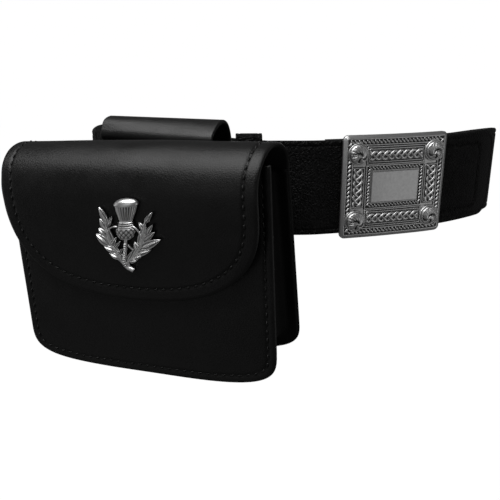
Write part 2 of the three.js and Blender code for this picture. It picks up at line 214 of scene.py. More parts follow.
def shellPiece(name, outer, inner, looks=()):
    # two grids, back to back, bridged round their rims
    face = gridPiece(name, outer)
    lining = gridPiece(name + "Lining", inner)
    walls = len(face.data.polygons) + len(lining.data.polygons)
    for piece, look in zip((face, lining), looks):
        piece.data.materials.append(look)
    editAll()
    bpy.ops.mesh.flip_normals()
    leaveEdit()
    shell = joinAll(name, [face, lining])
    editNothing("EDGE")
    bpy.ops.mesh.select_non_manifold(
        extend=False, use_wire=False, use_boundary=True, use_multi_face=False,
        use_non_contiguous=False, use_verts=False)
    bpy.ops.mesh.bridge_edge_loops()
    bpy.ops.mesh.select_all(action="SELECT")
    bpy.ops.mesh.normals_make_consistent(inside=False)
    leaveEdit()
    if len(looks) > 2:
        shell.data.materials.append(looks[2])
        for i in range(walls, len(shell.data.polygons)):
            shell.data.polygons[i].material_index = 2
    pickOnly(shell)
    bpy.ops.object.shade_smooth()
    return shell


def setPaintedLight(piece, paintedLight):
    # painted shade: 0 paints a hollow or low part dark as shade, 1 leaves the metal at its full bright tone
    data = piece.data
    relief = data.attributes.get("relief") or data.attributes.new("relief", "FLOAT", "POINT")
    values = np.clip(paintedLight + np.zeros(len(data.vertices)), 0, 1)
    relief.data.foreach_set("value", values.astype(np.float32))


def turned(points, right, ahead, up):
    return points[:, :1] * right + points[:, 1:2] * ahead + points[:, 2:] * up


def copiesOf(name, pattern, frames):
    # one mesh that holds a copy of the pattern at each frame (place, right, ahead, up)
    local = pointsOf(pattern)
    faces = [list(face.vertices) for face in pattern.data.polygons]
    points = []
    corners = []
    for place, right, ahead, up in frames:
        start = len(points) * len(local)
        points.append(place + turned(local, right, ahead, up))
        corners += [[start + i for i in face] for face in faces]
    mesh = bpy.data.meshes.new(name)
    mesh.from_pydata(np.concatenate(points).tolist(), [], corners)
    mesh.update()
    piece = bpy.data.objects.new(name, mesh)
    bpy.context.scene.collection.objects.link(piece)
    if "relief" in pattern.data.attributes:
        one = np.empty(len(local), np.float32)
        pattern.data.attributes["relief"].data.foreach_get("value", one)
        setPaintedLight(piece, np.tile(one, len(frames)))
    pickOnly(piece)
    bpy.ops.object.shade_smooth()
    return piece


def tubePiece(name, points, radius, closed=False, sides=2, swell=None, paintedLight=0.85):
    curve = bpy.data.curves.new(name, "CURVE")
    curve.dimensions = "3D"
    curve.bevel_depth = radius
    curve.bevel_resolution = sides
    curve.use_fill_caps = True
    spline = curve.splines.new("POLY")
    spline.points.add(len(points) - 1)
    for i, (knot, p) in enumerate(zip(spline.points, points)):
        knot.co = (*p, 1)
        knot.radius = 1 if swell is None else swell[i]
    spline.use_cyclic_u = closed
    piece = bpy.data.objects.new(name, curve)
    bpy.context.scene.collection.objects.link(piece)
    pickOnly(piece)
    bpy.ops.object.convert(target="MESH")
    editAll()
    bpy.ops.mesh.remove_doubles(threshold=0.001)  # welds the end caps on
    leaveEdit()
    bpy.ops.object.shade_smooth()
    tube = bpy.context.object
    setPaintedLight(tube, paintedLight)
    return tube


# Finishes

def newFinish(name):
    finish = bpy.data.materials.new(name)
    finish.use_nodes = True
    tree = finish.node_tree
    return finish, tree, tree.nodes["Principled BSDF"]


def setSockets(tree, node, values):
    # each value is plain or comes from another node
    for socket, value in values.items():
        if isinstance(value, bpy.types.NodeSocket):
            tree.links.new(value, node.inputs[socket])
        else:
            node.inputs[socket].default_value = value


def addNode(tree, kind, values, **options):
    node = tree.nodes.new(kind)
    for key, value in options.items():
        setattr(node, key, value)
    setSockets(tree, node, values)
    return node


def objectPlace(tree):
    return tree.nodes.new("ShaderNodeTexCoord").outputs["Object"]


def noiseNode(tree, place, scale, detail, rough=0.5):
    return addNode(tree, "ShaderNodeTexNoise", {"Vector": place, "Scale": scale, "Detail": detail,
                                                "Roughness": rough})


def multiplyAdd(tree, kind, value, factor, more):
    return addNode(tree, kind, {0: value, 1: factor, 2: more}, operation="MULTIPLY_ADD").outputs[0]


def rampNode(tree, value, *stops):
    ramp = addNode(tree, "ShaderNodeValToRGB", {"Fac": value})
    for stop, (spot, tone) in zip(ramp.color_ramp.elements, stops):
        stop.position = spot
        stop.color = (tone, tone, tone, 1)
    return ramp.outputs["Color"]


def bumpNode(tree, height, strength, distance):
    bump = addNode(tree, "ShaderNodeBump", {"Height": height, "Strength": strength, "Distance": distance})
    return bump.outputs["Normal"]


def leatherFinish(name, grain):
    finish, tree, shader = newFinish(name)
    place = objectPlace(tree)
    pebble = grain["pebble"]
    # slow changes of tone and polish over the hide
    cloud = noiseNode(tree, place, 55.0, 6.0, 0.68).outputs["Fac"]
    tone = rampNode(tree, cloud, (0.3, grain["deep"]), (0.72, grain["tone"]))
    polish = addNode(tree, "ShaderNodeMapRange", {
        "Value": cloud, "From Min": 0.3, "From Max": 0.7,
        "To Min": grain["rough"] - grain["uneven"], "To Max": grain["rough"] + grain["uneven"]})
    # pebbles, their lines bent a little by a finer noise
    stir = noiseNode(tree, place, 0.6 / pebble, 2.0).outputs["Color"]
    bent = multiplyAdd(tree, "ShaderNodeVectorMath", stir, (pebble,) * 3, place)
    cells = addNode(tree, "ShaderNodeTexVoronoi", {"Vector": bent, "Scale": 1 / pebble},
                    feature="DISTANCE_TO_EDGE")
    pebbles = rampNode(tree, cells.outputs["Distance"], (0.0, 0.0), (0.3, 1.0))
    pores = noiseNode(tree, place, 3200.0, 3.0, 0.65).outputs["Fac"]
    height = multiplyAdd(tree, "ShaderNodeMath", pebbles, grain["relief"], pores)
    setSockets(tree, shader, {"Base Color": tone, "Roughness": polish.outputs["Result"],
                              "Normal": bumpNode(tree, height, grain["bump"], 0.00025),
                              "Specular IOR Level": grain["gloss"]})
    return finish


def suedeFinish(name, tone):
    finish, tree, shader = newFinish(name)
    nap = noiseNode(tree, objectPlace(tree), 900.0, 6.0, 0.75).outputs["Fac"]
    shade = rampNode(tree, nap, (0.3, tone * 0.6), (0.7, tone * 1.5))
    setSockets(tree, shader, {"Base Color": shade, "Normal": bumpNode(tree, nap, 0.5, 0.0003),
                              "Roughness": 0.88, "Specular IOR Level": 0.2})
    return finish


def silverFinish(name, cast):
    finish, tree, shader = newFinish(name)
    relief = addNode(tree, "ShaderNodeAttribute", {}, attribute_name="relief").outputs["Fac"]
    dirt = noiseNode(tree, objectPlace(tree), 700.0, 5.0, 0.6).outputs["Fac"]
    # the relief attribute paints shade into hollows and low parts; a noise of real dirt is added, and both
    # darken the tone and roughen the polish
    dirtAndShade = multiplyAdd(tree, "ShaderNodeMath", dirt, cast["dirt"], relief)
    tone = rampNode(tree, dirtAndShade, (cast["dirt"] * 0.5, cast["deep"]), (0.8, cast["tone"]))
    polish = rampNode(tree, dirtAndShade, (0.1, cast["deepRough"]), (0.9, cast["rough"]))
    setSockets(tree, shader, {"Base Color": tone, "Roughness": polish, "Metallic": 1.0,
                              "Normal": bumpNode(tree, dirt, cast["bump"], 0.0001)})
    return finish


satinGrain = {"deep": 0.003, "tone": 0.006, "rough": 0.36, "uneven": 0.09, "pebble": 0.0012,
              "relief": 0.8, "bump": 0.26, "gloss": 0.3}
# a shaded copy of the satin leather, darker and duller: painted shade for the inside of the gusset's fold
foldShadedGrain = {"deep": 0.003, "tone": 0.005, "rough": 0.6, "uneven": 0.08, "pebble": 0.0009,
             "relief": 0.5, "bump": 0.25, "gloss": 0.1}
pebbleGrain = {"deep": 0.0025, "tone": 0.006, "rough": 0.42, "uneven": 0.06, "pebble": 0.0019,
               "relief": 3.2, "bump": 0.6, "gloss": 0.11}
edgeGrain = {"deep": 0.008, "tone": 0.02, "rough": 0.55, "uneven": 0.08, "pebble": 0.0005,
             "relief": 0.6, "bump": 0.35, "gloss": 0.2}
loopLitGrain = {**satinGrain, "gloss": 0.42}  # a lit copy of the satin leather, shinier so that the loop shows a brighter highlight
threadGrain = {"deep": 0.003, "tone": 0.008, "rough": 0.3, "uneven": 0.08, "pebble": 0.0004,
               "relief": 1.0, "bump": 0.3, "gloss": 0.25}
# deep and deepRough are the tone and roughness where the painted shade and the dirt are darkest
buckleCast = {"deep": 0.05, "tone": 0.72, "rough": 0.36, "deepRough": 0.6, "dirt": 0.25, "bump": 0.25}
badgeCast = {"deep": 0.03, "tone": 0.96, "rough": 0.33, "deepRough": 0.5, "dirt": 0.16, "bump": 0.12}

satinLeather = leatherFinish("satinLeather", satinGrain)
foldShadedLeather = leatherFinish("foldShadedLeather", foldShadedGrain)
beltLeather = leatherFinish("beltLeather", pebbleGrain)
loopLitLeather = leatherFinish("loopLitLeather", loopLitGrain)
cutEdge = leatherFinish("cutEdge", edgeGrain)
waxedThread = leatherFinish("waxedThread", threadGrain)
fleshSide = suedeFinish("fleshSide", 0.009)
antiqueSilver = silverFinish("antiqueSilver", buckleCast)
brightSilver = silverFinish("brightSilver", badgeCast)
pouchLooks = (satinLeather, fleshSide, cutEdge)
beltLooks = (beltLeather, fleshSide, cutEdge)
print("finishes made")


def coat(piece, finish):
    piece.data.materials.clear()
    piece.data.materials.append(finish)


def settle(piece, node):
    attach(piece, "root")
    if node:
        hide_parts(node)


# Leather sheets: flat shapes laid along a line, with rounded rims and pressed lines

rimSteps = (0, 0.1, 0.3, 0.6, 1)  # where rows and columns lie in a rounded rim


def footShare(distance, foot):
    left = np.clip(1 - distance / foot["height"], 0, 1)
    return (1 - left ** foot["power"]) ** (1 / foot["power"])


def roundEndRows(foot, count):
    turn = np.linspace(0.03, math.pi / 2, count)
    return foot["height"] * (1 - np.cos(turn) ** (2 / foot["power"]))


def straightEndRows(rim, last):
    return np.array([*(k * rim for k in rimSteps), *np.linspace(rim, last, 4)[1:]])


def edgeInsets(rim, soft, creases):
    # how far in from the edge the columns lie: close at the rim and at each pressed line
    insets = [*(k * rim for k in rimSteps), rim * 2, 0.4 * soft, 0.7 * soft, soft]
    for crease in creases:
        spread = crease["wide"]
        insets += [crease["inset"] + spread * k for k in (-2, -1.2, -0.6, 0, 0.6, 1.2, 2)]
    return sorted(set(round(i, 3) for i in insets if i >= 0))


def distanceTo(line, x, s):
    best = np.full(x.shape, 1e9)
    for (ax, ay), (bx, by) in zip(line[:-1], line[1:]):
        size = (bx - ax) ** 2 + (by - ay) ** 2
        if size > 1e-12:
            t = np.clip(((x - ax) * (bx - ax) + (s - ay) * (by - ay)) / size, 0, 1)
            best = np.minimum(best, np.hypot(x - ax - t * (bx - ax), s - ay - t * (by - ay)))
    return best


def outlineOf(sheet):
    # the right half of the flat outline, from the middle of one end to the middle of the other
    rows = sheet["rows"]
    side = [(float(sheet["half"](r)), float(r)) for r in rows]
    return np.array([(0, rows[0]), *side, (0, rows[-1])])


def sheetPiece(name, sheet, looks):
    rows = sheet["rows"]
    widest = sheet["half"](rows).max()
    insets = edgeInsets(sheet["rim"], sheet["soft"], sheet["creases"])
    inside = 1 - insets[-1] / widest
    middle = np.linspace(-inside, inside, 2 * round(widest / sheet["spacing"]) + 1)
    edge = np.array(insets[:-1]) / widest
    shares = np.concatenate([-1 + edge, middle, (1 - edge)[::-1]])[::-1]
    s, share = np.meshgrid(rows, shares, indexing="ij")
    x = share * sheet["half"](s)
    inset = distanceTo(outlineOf(sheet), np.abs(x), s)
    near = np.clip(1 - inset / sheet["rim"], 0, 1)
    nearSoft = np.clip(1 - inset / sheet["soft"], 0, 1)
    rounding = sheet["rim"] * (1 - np.sqrt(1 - near ** 2))
    outerRounding = sheet["rim"] * (1 - np.sqrt(1 - nearSoft ** 2))
    body = sheet["lift"](s, x)
    pressed = 0 * s
    for crease in sheet["creases"]:
        off = crease["off"](s, x) if "off" in crease else inset - crease["inset"]
        dent = crease["deep"] * np.exp(-(off / crease["wide"]) ** 2)
        pressed += dent * crease["where"](s) if "where" in crease else dent
    outer = sheet["place"](s, x, body - outerRounding - pressed)
    inner = sheet["place"](s, x, body - sheet["thick"] + rounding)
    return shellPiece(name, outer, inner, looks)


# Stitches: one modelled stitch, copied along a line set in from a sheet's edge

thread = {"radius": 0.56, "length": 3.1, "pitch": 4.8, "slant": 8.0, "sunk": 0.75, "proud": 0.26}


def stitchPattern():
    pickNothing()
    bpy.ops.mesh.primitive_circle_add(vertices=7, radius=thread["radius"] * 0.7, fill_type="NGON",
                                      rotation=(0, math.pi / 2, 0))
    stitch = bpy.context.object
    bakeScale(stitch)
    steps = 6
    half = thread["length"] / 2
    drop = thread["sunk"] + thread["proud"]
    turns = [math.pi * i / steps for i in range(steps + 1)]
    spots = [(-half * math.cos(t), thread["proud"] - drop * abs(math.cos(t)) ** 2.4) for t in turns]
    swell = [0.7, 0.92, 1.0, 1.04, 1.0, 0.92, 0.7]
    editAll()
    bpy.ops.transform.translate(value=(spots[0][0], 0, spots[0][1]))
    for (x, z), (nextX, nextZ), now, then in zip(spots[:-1], spots[1:], swell[:-1], swell[1:]):
        bpy.ops.mesh.extrude_region_move(TRANSFORM_OT_translate={"value": (nextX - x, 0, nextZ - z)})
        bpy.ops.transform.resize(value=(1, then / now, then / now), center_override=(nextX, 0, nextZ))
    bpy.ops.mesh.select_all(action="SELECT")
    bpy.ops.mesh.normals_make_consistent(inside=False)
    leaveEdit()
    return stitch


def seamLine(sheet, inset, start, stop):
    outline = outlineOf(sheet)
    step = np.gradient(outline, axis=0)
    step /= np.linalg.norm(step, axis=1, keepdims=True)
    moved = outline + inset * np.stack([-step[:, 1], step[:, 0]], -1)
    clear = distanceTo(outline, moved[:, 0], moved[:, 1]) > inset - 0.05
    return moved[clear & (moved[:, 0] > 0.01) & (moved[:, 1] >= start) & (moved[:, 1] <= stop)]


def bothSides(right):
    return np.concatenate([right * (-1, 1), right[::-1]])


def stitchRun(name, sheet, path):
    slant = math.radians(thread["slant"])
    lengths = lengthsOf(path)
    count = max(1, round(lengths[-1] / thread["pitch"]))
    spots = (np.arange(count) + 0.5) * lengths[-1] / count

    def laid(shift, lift):
        x = np.interp(spots + shift, lengths, path[:, 0])
        s = np.interp(spots + shift, lengths, path[:, 1])
        return sheet["place"](s, x, sheet["lift"](s, x) + lift)

    places = laid(0, -sheet["seamDepth"])
    frames = []
    for place, ahead, out in zip(places, laid(0.5, 0) - laid(-0.5, 0), laid(0, 1) - places):
        right = ahead / np.linalg.norm(ahead)
        up = out - right * out.dot(right)
        up /= np.linalg.norm(up)
        leaning = right * math.cos(slant) + np.cross(up, right) * math.sin(slant)
        frames.append((place, leaning * mm, np.cross(up, leaning) * mm, up * mm))
    seam = copiesOf(name, stitch, frames)
    seam.data.materials.append(waxedThread)
    settle(seam, None)


stitch = stitchPattern()

# Pouch sizes, in its own upright frame: x across, y back, z up

pouch = {"across": -40.0, "back": -135.0, "tilt": 2.5, "hang": 96.2, "half": 79.0, "foot": -4.7,
         "backFoot": 6.5, "backLean": 0.14, "corner": {"height": 25.0, "power": 4.0},
         "wave": 0.16, "ripple": 0.1}


def hangPouch(points):
    turn = math.radians(-pouch["tilt"])
    x = points[..., 0]
    z = points[..., 2] - pouch["hang"]
    return np.stack([x * math.cos(turn) + z * math.sin(turn) + pouch["across"],
                     points[..., 1] + pouch["back"],
                     z * math.cos(turn) - x * math.sin(turn)], -1) * mm


def hangLevel(points):
    return (points + (pouch["across"], pouch["back"], -pouch["hang"])) * mm


def alongSide(line, hang):
    # places on a sheet whose side view is a line in y and z
    def place(s, x, lift):
        spot, ahead = walk(line, s)
        y = spot[..., 0] + ahead[..., 1] * lift
        z = spot[..., 1] - ahead[..., 0] * lift
        return hang(np.stack([x, y, z], -1))
    return place


def backFace(z):
    return pouch["backFoot"] - pouch["backLean"] * z


def hideWave(s, x):
    # the slight unevenness of a hide that isn't stretched
    wave = pouch["wave"] * np.sin(x / 15 + 1.3) * np.sin(s / 19 + 0.4)
    return wave + pouch["ripple"] * np.sin(x / 8.3 + s / 12)


# Front panel

front = {"y": -42.0, "top": 117.0, "thick": 2.2, "bulge": 1.8, "bulgeOver": 40.0, "wavy": 0.6, "seam": 4.6,
         "seamFrom": 8.0, "rim": 1.09}
frontLength = front["top"] - pouch["foot"]


def frontHalf(s):
    return pouch["half"] * footShare(frontLength - s, pouch["corner"])


def frontLift(s, x):
    swell = front["bulge"] * (1 - (x / pouch["half"]) ** 2) * ease((frontLength - s) / front["bulgeOver"])
    return swell + front["wavy"] * hideWave(s, x)


frontFoot = frontLength - roundEndRows(pouch["corner"], 26)[::-1]
frontSheet = {
    "rows": np.concatenate([straightEndRows(front["rim"], 2.0), np.arange(4.0, frontFoot[0] - 1.5, 2.0),
                            frontFoot]),
    "half": frontHalf, "lift": frontLift, "thick": front["thick"], "rim": front["rim"], "soft": 2.2,
    "spacing": 1.6,
    "place": alongSide(np.array([(front["y"], front["top"]), (front["y"], pouch["foot"])]), hangPouch),
    "creases": [{"inset": front["seam"], "deep": 0.45, "wide": 0.75}],
    "seamDepth": 0.32,
}
settle(sheetPiece("front_panel_leather", frontSheet, pouchLooks), "front_panel")
frontSeam = seamLine(frontSheet, front["seam"], front["seamFrom"], frontLength)
stitchRun("front_panel_stitching", frontSheet, bothSides(frontSeam))
print("front panel done")

# Back and flap, one piece of leather

flap = {"thick": 2.4, "half": 75.4, "lip": {"height": 53.5, "power": 2.55}, "bulge": 2.2, "bulgeOver": 60.0,
        "seam": 7.2, "seamFrom": 2.0, "backSeamTo": -6.0, "narrowFrom": 22.0, "narrowOver": 38.0,
        "aside": 0.5}
flapSide = [(-8.8, 109), (-10.2, 116), (-15, 122.2), (-23, 125.6), (-32, 126.2), (-42, 123),
            (-49.5, 116), (-53, 106), (-53, 95), (-51.3, 80), (-49, 62), (-47.5, 43.7)]  # y and z
backSide = [(backFace(z), z) for z in (pouch["foot"], 60, 100)]
flapLine = curveThrough(backSide + flapSide)
flapLength = lengthsOf(flapLine)[-1]
backLength = math.dist(backSide[0], flapSide[0])


def flapHalf(s):
    narrow = np.clip((s - backLength - flap["narrowFrom"]) / flap["narrowOver"], 0, 1)
    half = pouch["half"] + (flap["half"] - pouch["half"]) * narrow
    return half * footShare(s, pouch["corner"]) * footShare(flapLength - s, flap["lip"])


def flapLift(s, x):
    over = ease((s - backLength) / flap["bulgeOver"])
    return over * (flap["bulge"] * (1 - (x / pouch["half"]) ** 2) + hideWave(s, x))


def flapPlace(s, x, lift):
    aside = flap["aside"] * ease((s - backLength - flap["narrowFrom"]) / flap["narrowOver"])
    return alongSide(flapLine, hangPouch)(s, x + aside, lift)


flapFoot = roundEndRows(pouch["corner"], 22)
flapLip = flapLength - roundEndRows(flap["lip"], 62)[::-1]
flapSheet = {
    "rows": np.concatenate([flapFoot, np.arange(flapFoot[-1] + 2.2, backLength - 8, 2.2),
                            np.arange(backLength - 7, flapLip[0] - 0.8, 1.3), flapLip]),
    "half": flapHalf, "lift": flapLift, "thick": flap["thick"], "rim": 1.19, "soft": 2.6, "spacing": 1.15,
    "place": flapPlace,
    "creases": [{"inset": flap["seam"], "deep": 0.5, "wide": 0.75}],
    "seamDepth": 0.36,
}
settle(sheetPiece("back_and_flap_leather", flapSheet, pouchLooks), "back_and_flap")
flapSeam = seamLine(flapSheet, flap["seam"], backLength + flap["seamFrom"], flapLength)
stitchRun("flap_stitching", flapSheet, bothSides(flapSeam))
backSeam = seamLine(flapSheet, front["seam"], 0, backLength + flap["backSeamTo"])
stitchRun("back_stitching", flapSheet, bothSides(backSeam[::-1]))
bpy.data.objects.remove(stitch)
print("back and flap done")

# Gusset, folded inwards like a bellows

gusset = {"thick": 1.6, "top": 112.0, "gap": 0.35, "seam": 6.0, "footRows": 91, "sideStep": 3.0,
          "ripple": 0.5, "ripples": 23}
gussetFold = [(0.9, 0), (6, 0), (8.2, 0.05), (9.6, 0.22), (12.4, 0.46), (12.4, 0.54), (9.6, 0.78),
              (8.2, 0.95), (6, 1), (0.9, 1)]  # inset from the panels' edge, share of the way back
gussetFront = front["y"] + front["thick"] + gusset["gap"] + gusset["thick"] / 2
cornerTop = pouch["foot"] + pouch["corner"]["height"]


def gussetSpot(turn, inset):
    # turn runs from 0 at the right corner to pi at the left one, and past both ends straight up
    bend = np.clip(turn, 0, math.pi)
    across = np.cos(bend)
    power = 2 / pouch["corner"]["power"]
    x = (pouch["half"] - inset) * np.sign(across) * np.abs(across) ** power
    z = cornerTop - (pouch["corner"]["height"] - inset) * np.abs(np.sin(bend)) ** power
    return x, z + np.abs(turn - bend) * 100


def gussetTurns():
    foot = np.linspace(0, math.pi, 4001)
    lengths = lengthsOf(np.stack(gussetSpot(foot, gusset["seam"]), -1))
    even = np.interp(np.linspace(0, lengths[-1], gusset["footRows"]), lengths, foot)
    step = gusset["sideStep"] / 100
    rise = np.arange(step, (gusset["top"] - cornerTop) / 100 + 0.001, step)
    return np.concatenate([-rise[::-1], even, math.pi + rise])


def gussetGrid(side):
    deep = 40.0  # the fold is drawn this deep, then fitted between front and back
    fold = curveThrough([(inset, share * deep) for inset, share in gussetFold], fine=5)
    turn, column = np.meshgrid(gussetTurns(), np.arange(len(fold)), indexing="ij")
    inset = fold[column, 0]
    share = fold[column, 1] / deep
    ripple = gusset["ripple"] * np.sin(turn * gusset["ripples"]) * np.sin(share * math.pi) ** 2
    height = gussetSpot(turn, inset)[1]
    backInside = backFace(height) - flap["thick"] * 1.01 - gusset["gap"] - gusset["thick"] / 2
    depth = backInside - gussetFront
    run = np.gradient(fold, axis=0)[column]
    runIn = run[..., 0]
    runBack = run[..., 1] * depth / deep
    size = np.hypot(runIn, runBack)
    x, z = gussetSpot(turn, inset + ripple + runBack / size * side * gusset["thick"] / 2)
    y = gussetFront + share * depth - runIn / size * side * gusset["thick"] / 2
    return hangPouch(np.stack([x, y, z], -1))[:, ::-1]


# the gusset wears the shaded copy of the leather, painted shade inside its fold
gussetPiece = shellPiece("gusset_leather", gussetGrid(1), gussetGrid(-1), (foldShadedLeather,) * 3)
settle(gussetPiece, "gusset")
print("gusset done")

# Belt loop behind the pouch

loop = {"half": 36.5, "thick": 2.4, "seat": 1.85, "rim": 0.9, "tighter": 5.5, "arch": (16, 10, 44, 14)}
loopSide = [(0, 100), (0, 109), (-0.6, 115), (-2.2, 120.2), (-4.9, 123.9), (-6.5, 126.2), (-5.2, 128.5),
            (-2.1, 130.9), (2.5, 133.3), (7.6, 135.0), (12.4, 135.3), (17, 133.4), (20.1, 127.7), (20.6, 118),
            (17, 92), (14.4, 74), (12, 65), (6.6, 57.4), (1.2, 52), (0, 46), (0, 37)]  # off the back, and z
loopLine = curveThrough([(backFace(z) + loop["seat"] + off, z) for off, z in loopSide])
loopLength = lengthsOf(loopLine)[-1]
loopEnd = straightEndRows(loop["rim"], 2.4)


def loopPlace(s, x, lift):
    # the front of the arch sits tighter at its left end
    points = alongSide(loopLine, hangLevel)(s, x, lift)
    points[..., 1] += loop["tighter"] * between(s, *loop["arch"]) * (0.5 - x / loop["half"] / 2) * mm
    return points


loopSheet = {
    "rows": np.concatenate([loopEnd, np.arange(4.4, loopLength - 4.4, 2.0), loopLength - loopEnd[::-1]]),
    "half": lambda s: loop["half"] + 0 * s, "lift": lambda s, x: loop["thick"] / 2 + 0 * s,
    "thick": loop["thick"], "rim": loop["rim"], "soft": loop["rim"], "spacing": 3.0,
    "place": loopPlace, "creases": [],
}
# the loop's face wears the lit, shinier copy of the satin leather
loopPiece = sheetPiece("belt_loop_leather", loopSheet, (fleshSide, loopLitLeather, cutEdge))
settle(loopPiece, "belt_loop")
print("belt loop done")

# The belt's way round the waist

waist = [(-42, 152.2, 0), (-31, 148.6, 0), (-17, 137, 0), (-2, 128.2, 0), (12, 118.6, 0), (29, 111.8, 0),
         (46, 113, 0), (62, 122, -0.5), (76, 132.6, -1.5), (92, 140, 1), (112, 142, 10), (135, 139, 21),
         (160, 131, 29), (185, 124, 33), (212, 123, 31), (240, 128, 23), (262, 133, 14), (277, 136.2, 7),
         (294, 141.2, 2), (307, 146.6, 0)]  # heading in degrees, radius, drop
belt = {"height": 56.0, "thick": 3.2, "lap": 3.6, "tipRadius": 13.0, "tip": 84.0, "inner": 42.0,
        "buckle": 46, "pouch": -17, "rampStart": 34.0, "ramp": 31.0, "edgeLine": 3.2,
        "tipLine": 7.6, "tipEnd": 19.0, "tipCorner": 5.0, "tipLineLong": 75.0, "tipLineFade": 12.0}


def waistPoint(heading, radius, drop):
    turn = math.radians(heading)
    return radius * math.sin(turn), -radius * math.cos(turn), -drop


onceRound = curveThrough([waistPoint(*row) for row in waist], closed=True)
waistLength = lengthsOf(onceRound)[-1]
twiceRound = np.concatenate([onceRound[:-1], onceRound])


def lengthAt(heading):
    aim = np.array(waistPoint(heading, 1, 0))
    flat = onceRound * (1, 1, 0)
    best = np.argmax(flat @ aim / np.linalg.norm(flat, axis=1))
    return lengthsOf(onceRound)[best]


def onBelt(length, up, out):
    place, along = walk(twiceRound, length)
    flat = np.hypot(along[..., 0], along[..., 1])
    x = place[..., 0] + along[..., 1] / flat * out
    y = place[..., 1] - along[..., 0] / flat * out
    return np.stack([x, y, place[..., 2] + up], -1) * mm


buckleAt = lengthAt(belt["buckle"])
pouchAt = lengthAt(belt["pouch"])
beltStart = buckleAt - belt["inner"]
beltLength = waistLength + belt["inner"] + belt["tip"]


def beltHalf(s):
    short = np.clip(belt["tipRadius"] - (beltLength - s), 0, belt["tipRadius"])
    corner = belt["tipRadius"] - np.sqrt(belt["tipRadius"] ** 2 - short ** 2)
    return belt["height"] / 2 - corner


def beltLift(s, x):
    return belt["thick"] / 2 + belt["lap"] * ease((s - waistLength + belt["rampStart"]) / belt["ramp"])


def nearTip(s):
    return ease((s - beltLength + belt["tipLineLong"]) / belt["tipLineFade"])


def tipLine(s, x):
    # how far off the line pressed round the tip
    corner = belt["tipCorner"]
    across = np.abs(x) - belt["height"] / 2 + belt["tipLine"] + corner
    ahead = s - beltLength + belt["tipEnd"] + corner
    outside = np.hypot(np.maximum(across, 0), np.maximum(ahead, 0))
    return outside + np.minimum(np.maximum(across, ahead), 0) - corner


beltTip = np.array([0, 0.1, 0.3, 0.6, 1.0, 1.6, 2.2, 2.7, 3.2, 3.7, 4.2, 5, 6.5, 8, 10, 12, 14, 15.5,
                    *np.arange(16.5, 27, 0.6)])
beltSheet = {
    "rows": np.concatenate([straightEndRows(1.0, 3.0), np.arange(6, beltLength - 29, 4.0),
                            beltLength - beltTip[::-1]]),
    "half": beltHalf, "lift": beltLift, "thick": belt["thick"], "rim": 1.1, "soft": 1.6, "spacing": 5.0,
    "place": lambda s, x, lift: onBelt(beltStart + s, x, lift),
    "creases": [{"inset": belt["edgeLine"], "deep": 0.35, "wide": 0.55},
                {"inset": belt["tipLine"], "deep": 1.2, "wide": 1.1, "where": nearTip, "off": tipLine}],
}
settle(sheetPiece("belt_leather", beltSheet, beltLooks), "belt")
print("belt done")

# Keepers: narrow bands round the belt, one each side of the loop

keeper = {"width": 15.0, "thick": 1.8, "slack": 2.4, "depth": 4.5, "offset": 48.5, "corner": 3.2, "rim": 0.45,
          "line": 5.4, "lineHalf": 0.6, "lineDeep": 0.3}


def keeperBand(name):
    tall = belt["height"] + 2 * (keeper["slack"] + keeper["thick"])
    band = blockPiece(name, (keeper["width"], tall, keeper["depth"] + 2 * keeper["thick"]))
    editEdges(band, lambda a, b: abs(a.x - b.x) > 1)
    bpy.ops.mesh.bevel(offset=keeper["corner"], segments=6, affect="EDGES")
    leaveEdit()
    editFaces(band, lambda face: abs(face.normal.x) > 0.9)
    bpy.ops.mesh.delete(type="FACE")
    sliceAcross(side * keeper["line"] + off * keeper["lineHalf"] for side in (-1, 1) for off in (-1, 0, 1))
    leaveEdit()
    editEdges(band, lambda a, b: abs(abs(a.x) - keeper["line"]) < 0.05 and abs(a.x - b.x) < 0.05)
    bpy.ops.transform.shrink_fatten(value=-keeper["lineDeep"])
    leaveEdit()
    wall = band.modifiers.new("wall", "SOLIDIFY")
    wall.thickness = keeper["thick"]
    wall.offset = -1
    bpy.ops.object.modifier_apply(modifier="wall")
    soft = band.modifiers.new("soft", "BEVEL")
    soft.width = keeper["rim"]
    soft.segments = 3
    soft.limit_method = "ANGLE"
    soft.angle_limit = math.radians(50)
    bpy.ops.object.modifier_apply(modifier="soft")
    bpy.ops.object.shade_smooth_by_angle(angle=math.radians(40))
    return band


upward = np.array([0, 0, 1.0])
for node, side in (("keeper_left", -1), ("keeper_right", 1)):
    band = keeperBand(node + "_leather")
    middle = pouchAt + side * keeper["offset"]
    ahead = onBelt(middle + 1, 0, 0) - onBelt(middle - 1, 0, 0)
    ahead /= np.linalg.norm(ahead)
    out = np.array([ahead[1], -ahead[0], 0])
    setPoints(band, onBelt(middle, 0, 0) + turned(pointsOf(band), ahead, upward, out) * mm)
    band.data.materials.append(beltLeather)
    settle(band, node)
print("keepers done")

# Buckle, modelled flat (x along the belt, y up, z out, in millimetres) and then bowed to the belt

buckle = {"width": 67.0, "height": 61.5, "thick": 2.4, "corner": 3.0, "lip": 1.9, "lipRise": 0.9,
          "sunk": 0.45, "seat": 0.45, "tablet": (15.4, 9.4), "tabletRise": 0.7, "tabletStep": 0.25,
          "ropeInset": 3.9, "ropeSlant": -52.0, "bossAlong": 24.6, "bossUp": 20.0}
